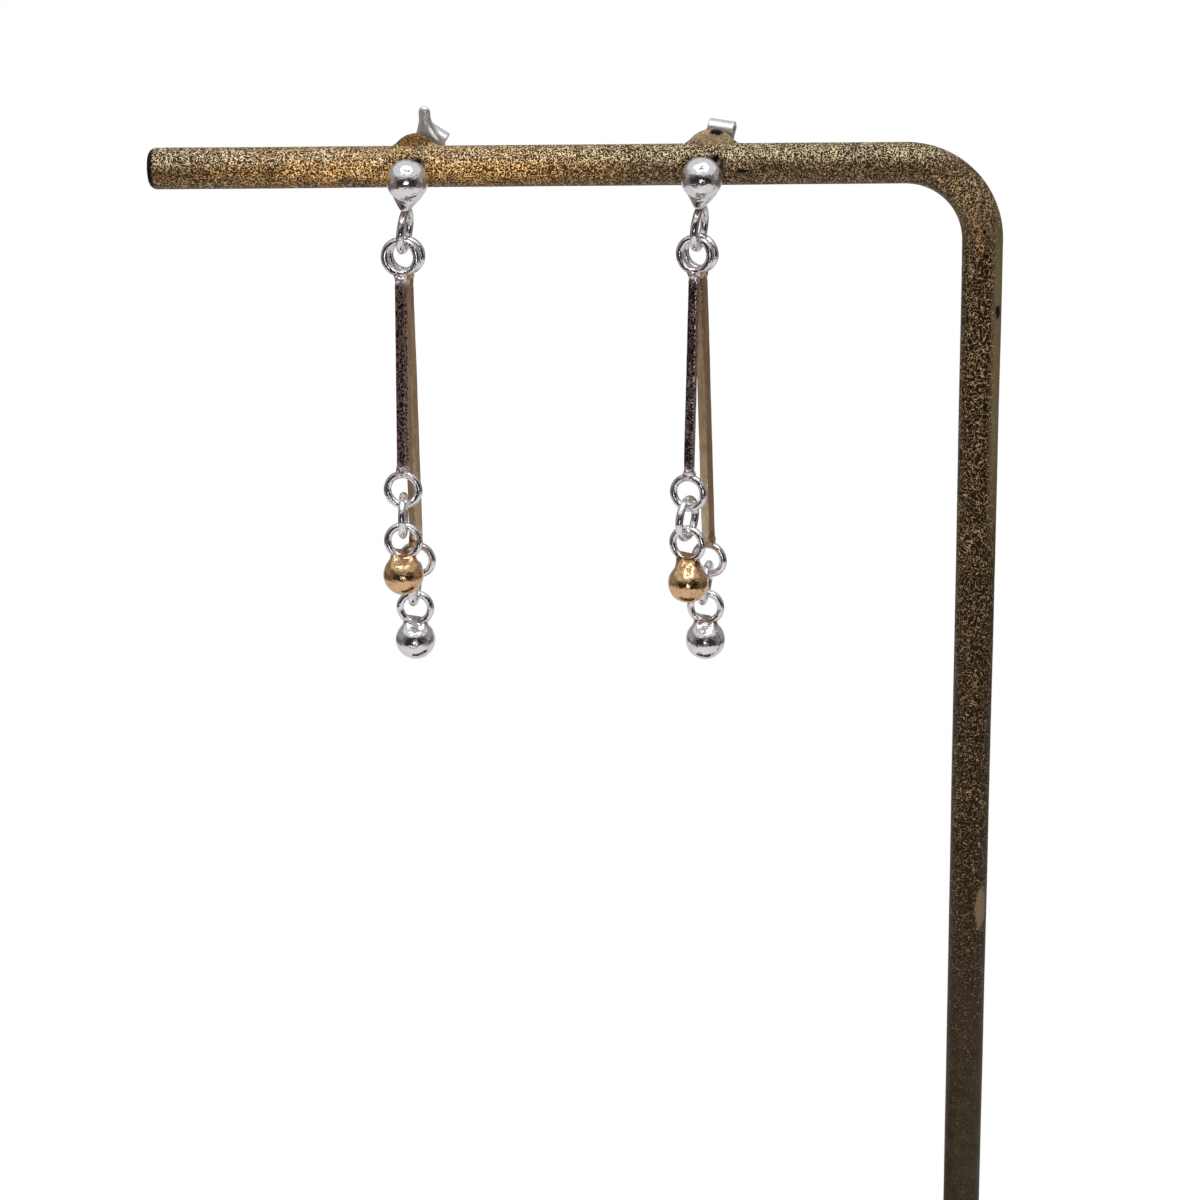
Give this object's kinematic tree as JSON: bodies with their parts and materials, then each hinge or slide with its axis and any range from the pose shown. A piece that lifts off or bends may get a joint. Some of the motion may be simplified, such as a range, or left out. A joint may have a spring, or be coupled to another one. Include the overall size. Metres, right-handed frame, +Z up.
{
  "type": "pair of dangle earrings on display stand",
  "caption": "Silver and gold bar dangle earrings with ball studs, hung through drilled eyelets of a bent bronze rod stand with a flat base.",
  "frame": {"origin": "centre of the base plate's underside, on the table", "axes": "+Z up; -Y is the front, where the ball studs show; the arm runs along X, with its free end at -X and the pole at +X"},
  "size_m": [0.0905, 0.048, 0.1446],
  "materials": {
    "bronze_paint": "speckled antique bronze hammered paint",
    "silver": "polished silver",
    "gold": "polished gold fill"
  },
  "bodies": {
    "stand": {"stand_base": "bronze_paint", "stand_rod": "bronze_paint", "left_stud": "silver", "right_stud": "silver"},
    "left_front_drop": {"left_silver_bar": "silver", "left_silver_bar_link": "silver", "left_gold_ball": "gold"},
    "left_back_drop": {"left_gold_bar": "gold", "left_gold_bar_link": "silver", "left_silver_ball": "silver"},
    "left_clutch": {"left_clutch": "silver"},
    "right_front_drop": {"right_silver_bar": "silver", "right_silver_bar_link": "silver", "right_gold_ball": "gold"},
    "right_back_drop": {"right_gold_bar": "gold", "right_gold_bar_link": "silver", "right_silver_ball": "silver"},
    "right_clutch": {"right_clutch": "silver"}
  },
  "joints": [
    {"name": "left_front_swing", "type": "hinge", "parent": "stand", "child": "left_front_drop", "pos_m": [-0.02285, -0.00294, 0.13231], "axis": [-0.9943, 0.1053, 0.0162], "range_deg": [0, 85]},
    {"name": "left_back_swing", "type": "hinge", "parent": "stand", "child": "left_back_drop", "pos_m": [-0.02271, -0.00205, 0.13231], "axis": [0.9903, -0.1391, -0.0057], "range_deg": [0, 85]},
    {"name": "left_clutch_slide", "type": "slide", "parent": "stand", "child": "left_clutch", "axis": [0.171, 0.9698, 0.1736], "range_m": [0, 0.0033]},
    {"name": "right_front_swing", "type": "hinge", "parent": "stand", "child": "right_front_drop", "pos_m": [0.00572, -0.00279, 0.13229], "axis": [-0.9269, 0.3752, 0.0047], "range_deg": [0, 85]},
    {"name": "right_back_swing", "type": "hinge", "parent": "stand", "child": "right_back_drop", "pos_m": [0.00598, -0.00193, 0.13229], "axis": [0.8904, -0.4549, 0.014], "range_deg": [0, 85]},
    {"name": "right_clutch_slide", "type": "slide", "parent": "stand", "child": "right_clutch", "axis": [0.3043, 0.9366, 0.1736], "range_m": [0, 0.0033]}
  ]
}
